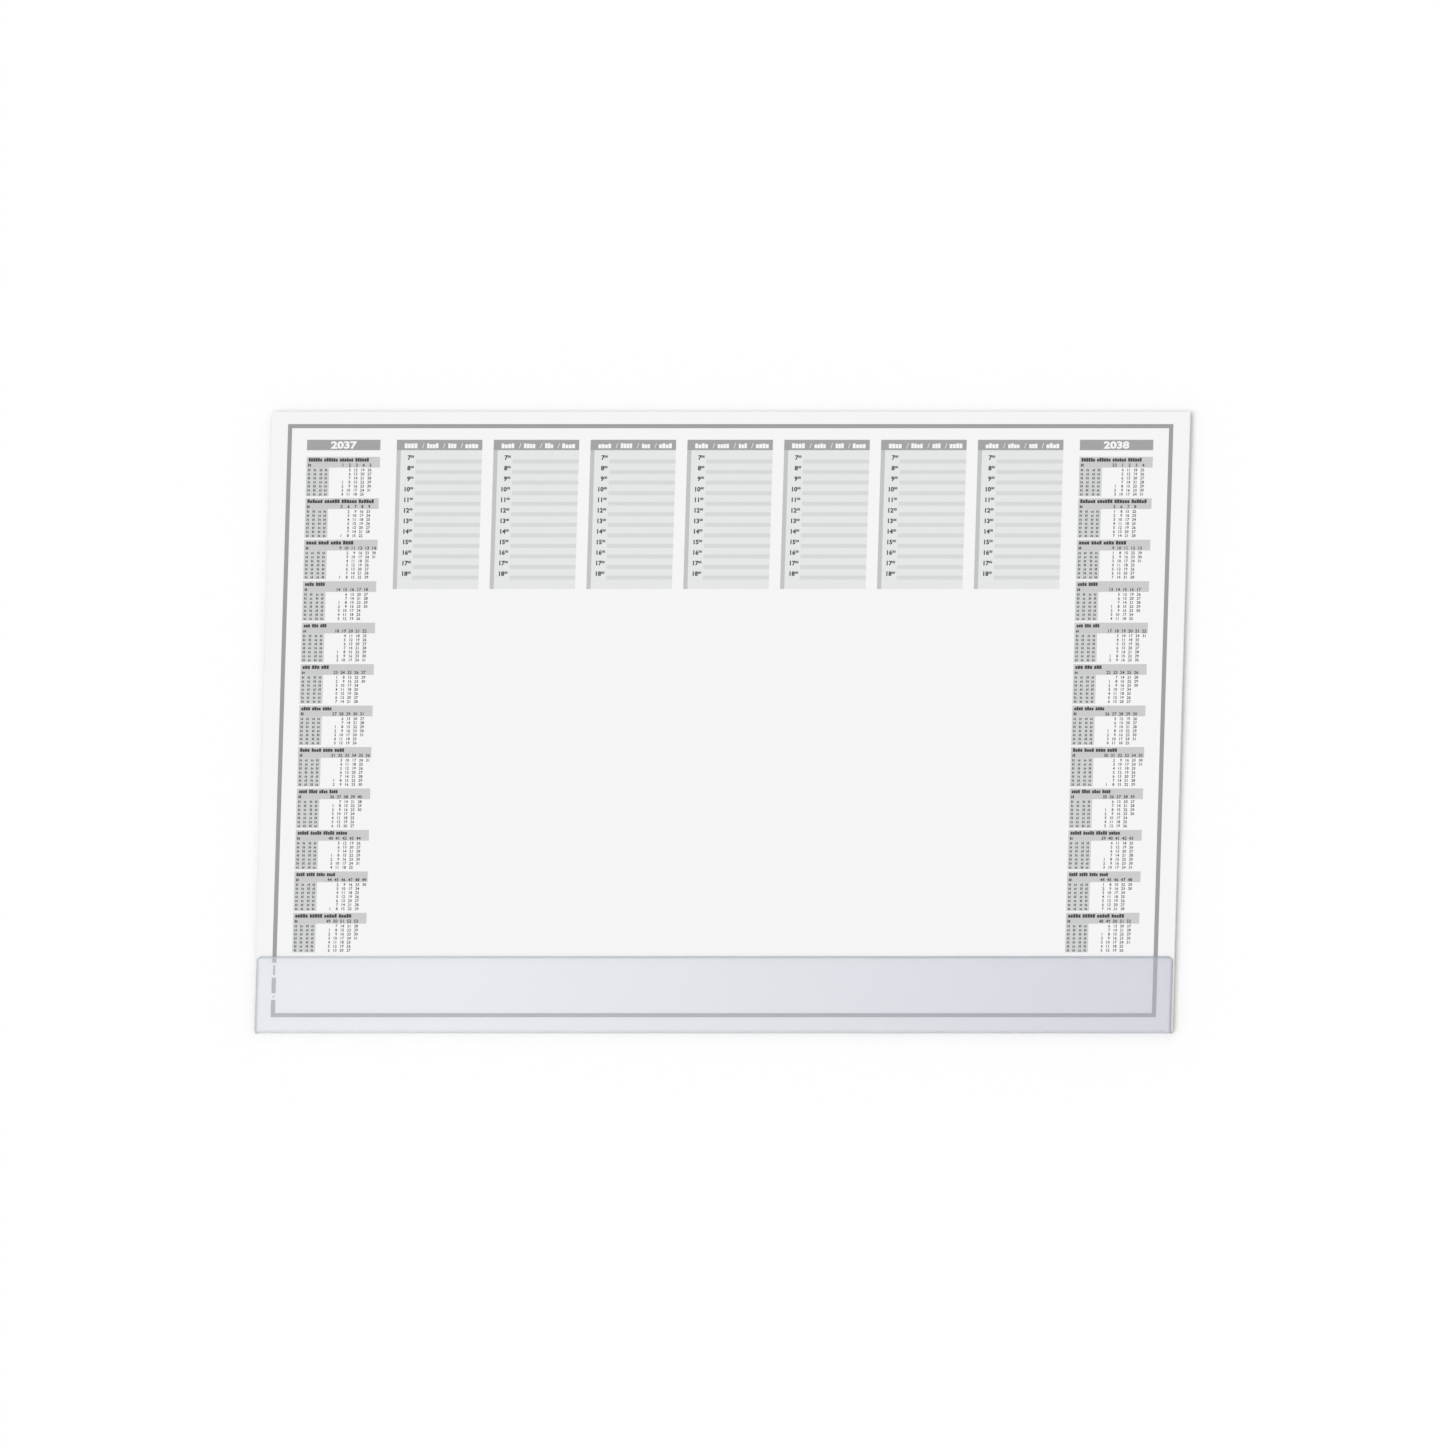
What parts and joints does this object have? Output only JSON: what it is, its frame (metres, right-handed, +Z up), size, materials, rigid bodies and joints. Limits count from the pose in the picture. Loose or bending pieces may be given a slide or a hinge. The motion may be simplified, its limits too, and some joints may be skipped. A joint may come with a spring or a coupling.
{
  "type": "desk pad",
  "caption": "Flat rectangular pad of printed planner sheets on a grey board, with calendar fields, day columns and a clear protective strip folded round its front edge.",
  "frame": {"origin": "middle of the footprint, on the surface that the pad lies on", "axes": "+X along the long side to the writer's right, +Y away from the writer, +Z up out of the printed sheet; the strip is folded round the -Y edge"},
  "size_m": [0.595, 0.4112, 0.0074],
  "materials": {
    "paper": "matte",
    "grey_board": "matte",
    "padding_glue": "satin",
    "adhesive": "satin",
    "clear_film": "gloss",
    "border_ink": "matte",
    "heading_ink": "matte",
    "rule_ink": "matte",
    "panel_tint": "matte",
    "month_tint": "matte"
  },
  "bodies": {
    "root": {"back_board": "grey_board", "sheet_block": "paper", "edge_glue": "padding_glue", "strip_adhesive": "adhesive", "protective_strip": "clear_film", "border_frame": "border_ink", "year_bar_left": "heading_ink", "year_bar_right": "heading_ink", "day_heading_1": "heading_ink", "day_heading_2": "heading_ink", "day_heading_3": "heading_ink", "day_heading_4": "heading_ink", "day_heading_5": "heading_ink", "day_heading_6": "heading_ink", "day_heading_7": "heading_ink", "margin_rule_1": "rule_ink", "margin_rule_2": "rule_ink", "margin_rule_3": "rule_ink", "margin_rule_4": "rule_ink", "margin_rule_5": "rule_ink", "margin_rule_6": "rule_ink", "margin_rule_7": "rule_ink", "day_panel_1": "panel_tint", "day_panel_2": "panel_tint", "day_panel_3": "panel_tint", "day_panel_4": "panel_tint", "day_panel_5": "panel_tint", "day_panel_6": "panel_tint", "day_panel_7": "panel_tint", "month_field_left_01": "month_tint", "month_field_left_02": "month_tint", "month_field_left_03": "month_tint", "month_field_left_04": "month_tint", "month_field_left_05": "month_tint", "month_field_left_06": "month_tint", "month_field_left_07": "month_tint", "month_field_left_08": "month_tint", "month_field_left_09": "month_tint", "month_field_left_10": "month_tint", "month_field_left_11": "month_tint", "month_field_left_12": "month_tint", "month_field_right_01": "month_tint", "month_field_right_02": "month_tint", "month_field_right_03": "month_tint", "month_field_right_04": "month_tint", "month_field_right_05": "month_tint", "month_field_right_06": "month_tint", "month_field_right_07": "month_tint", "month_field_right_08": "month_tint", "month_field_right_09": "month_tint", "month_field_right_10": "month_tint", "month_field_right_11": "month_tint", "month_field_right_12": "month_tint"}
  },
  "joints": []
}
